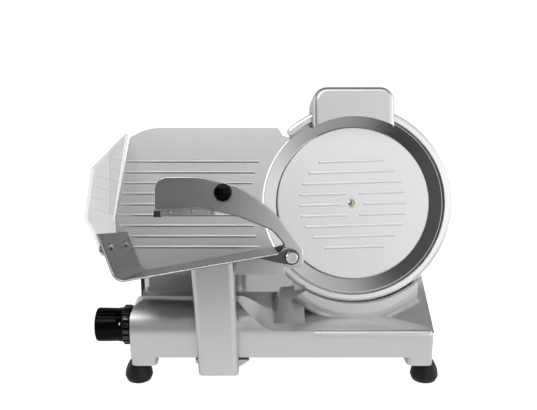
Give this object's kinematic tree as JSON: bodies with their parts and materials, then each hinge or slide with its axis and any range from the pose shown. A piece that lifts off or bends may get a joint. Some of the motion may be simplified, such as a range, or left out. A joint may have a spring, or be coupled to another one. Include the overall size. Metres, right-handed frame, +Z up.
{
  "type": "gravity feed food slicer",
  "caption": "Electric gravity-feed food slicer: round blade with fixed cover and ring guard, ribbed gauge plate, sliding carriage with tray, press arm and clear guard, on a cast base with feet.",
  "frame": {"origin": "on the table, under the middle of the whole machine's bounding box", "axes": "+X to the operator's right, the way the carriage pushes food across the blade; +Y away from the operator; +Z up. The blade leans back 15 degrees."},
  "size_m": [0.4894, 0.3702, 0.3819],
  "materials": {
    "cast_aluminium": "satin silver coated casting",
    "anodised_plate": "anodised satin",
    "blade_steel": "polished",
    "tray_sheet": "satin anodised",
    "raw_casting": "as cast",
    "press_aluminium": "polished satin",
    "bright_steel": "ground",
    "zinc_screws": "zinc plated",
    "black_plastic": "gloss black",
    "clear_plastic": "clear polycarbonate",
    "foot_rubber": "moulded black",
    "belt_rubber": "ribbed",
    "bush_bronze": "sintered",
    "motor_iron": "painted",
    "stone_grit": "bonded abrasive",
    "button_green": "gloss",
    "button_red": "gloss"
  },
  "bodies": {
    "frame": {"base_casting": "cast_aluminium", "base_bottom_plate": "tray_sheet", "foot_front_left": "foot_rubber", "foot_front_right": "foot_rubber", "foot_rear_left": "foot_rubber", "foot_rear_right": "foot_rubber", "foot_screws": "zinc_screws", "m4_screws": "zinc_screws", "blade_ring_guard": "cast_aluminium", "blade_cover": "anodised_plate", "blade_cover_bolt": "bright_steel", "blade_spindle": "bright_steel", "motor_stator": "motor_iron", "drive_belt": "belt_rubber", "motor_cover": "cast_aluminium", "slice_deflector": "tray_sheet", "carriage_guide_rod": "bright_steel", "carriage_guide_rail": "bright_steel", "switch_panel": "black_plastic", "switch_block": "black_plastic", "cord_inlet": "black_plastic", "gauge_guide_bush": "bush_bronze", "knob_shaft_bush": "bush_bronze", "sharpener_post": "bright_steel"},
    "blade": {"blade": "blade_steel", "blade_pulley": "raw_casting", "blade_bearings": "bright_steel", "blade_screws": "zinc_screws"},
    "rotor": {"motor_shaft": "bright_steel", "motor_pulley": "raw_casting"},
    "gauge": {"gauge_plate": "anodised_plate", "gauge_bracket": "raw_casting", "gauge_guide_rod": "bright_steel", "gauge_follower_pin": "bright_steel", "gauge_screws": "zinc_screws"},
    "knob": {"thickness_knob": "black_plastic", "knob_shaft": "bright_steel", "knob_cam_disc": "raw_casting"},
    "carriage": {"carriage_tray": "tray_sheet", "carriage_arm": "cast_aluminium", "tray_bracket": "raw_casting", "carriage_slider": "raw_casting", "slider_bushes": "bush_bronze", "arm_screws": "zinc_screws", "clear_guard": "clear_plastic", "guard_bolts": "zinc_screws", "pusher_rod": "bright_steel", "pusher_rod_nut": "bright_steel"},
    "pusher_slide": {"pusher_collar": "bright_steel"},
    "pusher": {"pusher_plate": "press_aluminium", "pusher_knob": "black_plastic", "pusher_teeth": "tray_sheet", "pusher_bumper": "black_plastic"},
    "sharpener": {"sharpener_housing": "cast_aluminium"},
    "grinding_push": {"grinding_button": "black_plastic"},
    "grinding_wheel": {"grinding_stone": "stone_grit"},
    "honing_push": {"honing_button": "black_plastic"},
    "honing_wheel": {"honing_stone": "stone_grit"},
    "start": {"start_button": "button_green"},
    "stop": {"stop_button": "button_red"}
  },
  "joints": [
    {"name": "blade_spin", "type": "hinge", "parent": "frame", "child": "blade", "pos_m": [0.10675, 0.02705, 0.224], "axis": [0, -0.9659, 0.2588], "continuous": true},
    {"name": "motor_spin", "type": "hinge", "parent": "frame", "child": "rotor", "pos_m": [0.14675, 0.00583, 0.14479], "axis": [0, -0.9659, 0.2588], "continuous": true},
    {"name": "thickness_turn", "type": "hinge", "parent": "frame", "child": "knob", "pos_m": [-0.19425, -0.04495, 0.072], "axis": [1, 0, 0], "range_deg": [0, 300]},
    {"name": "gauge_travel", "type": "slide", "parent": "frame", "child": "gauge", "axis": [0, 0.9659, -0.2588], "range_m": [-0.0001, 0.0141]},
    {"name": "carriage_travel", "type": "slide", "parent": "frame", "child": "carriage", "axis": [1, 0, 0], "range_m": [-0.04, 0.19]},
    {"name": "pusher_travel", "type": "slide", "parent": "carriage", "child": "pusher_slide", "axis": [0, -0.9659, 0.2588], "range_m": [-0.135, 0]},
    {"name": "pusher_swing", "type": "hinge", "parent": "pusher_slide", "child": "pusher", "pos_m": [0.01075, -0.15243, 0.20325], "axis": [0, -0.9659, 0.2588], "range_deg": [-60, 18]},
    {"name": "sharpener_lift", "type": "slide", "parent": "frame", "child": "sharpener", "axis": [0, 0.2588, 0.9659], "range_m": [0, 0.03]},
    {"name": "grinding_press", "type": "slide", "parent": "sharpener", "child": "grinding_push", "axis": [0, -0.9659, 0.2588], "range_m": [0, 0.006], "stiffness_N_per_m": 300},
    {"name": "grinding_spin", "type": "hinge", "parent": "grinding_push", "child": "grinding_wheel", "pos_m": [0.07575, 0.09264, 0.34515], "axis": [0, -0.9659, 0.2588], "continuous": true},
    {"name": "honing_press", "type": "slide", "parent": "sharpener", "child": "honing_push", "axis": [0, -0.9659, 0.2588], "range_m": [0, 0.006], "stiffness_N_per_m": 300},
    {"name": "honing_spin", "type": "hinge", "parent": "honing_push", "child": "honing_wheel", "pos_m": [0.13575, 0.09264, 0.34515], "axis": [0, -0.9659, 0.2588], "continuous": true},
    {"name": "start_press", "type": "slide", "parent": "frame", "child": "start", "axis": [1, 0, 0], "range_m": [0, 0.002], "stiffness_N_per_m": 400},
    {"name": "stop_press", "type": "slide", "parent": "frame", "child": "stop", "axis": [1, 0, 0], "range_m": [0, 0.002], "stiffness_N_per_m": 400}
  ],
  "couplings": [
    {"joint": "motor_spin", "follows": "blade_spin", "ratio": 6.3636},
    {"joint": "gauge_travel", "follows": "thickness_turn", "m_per_rad": 0.0026738}
  ]
}
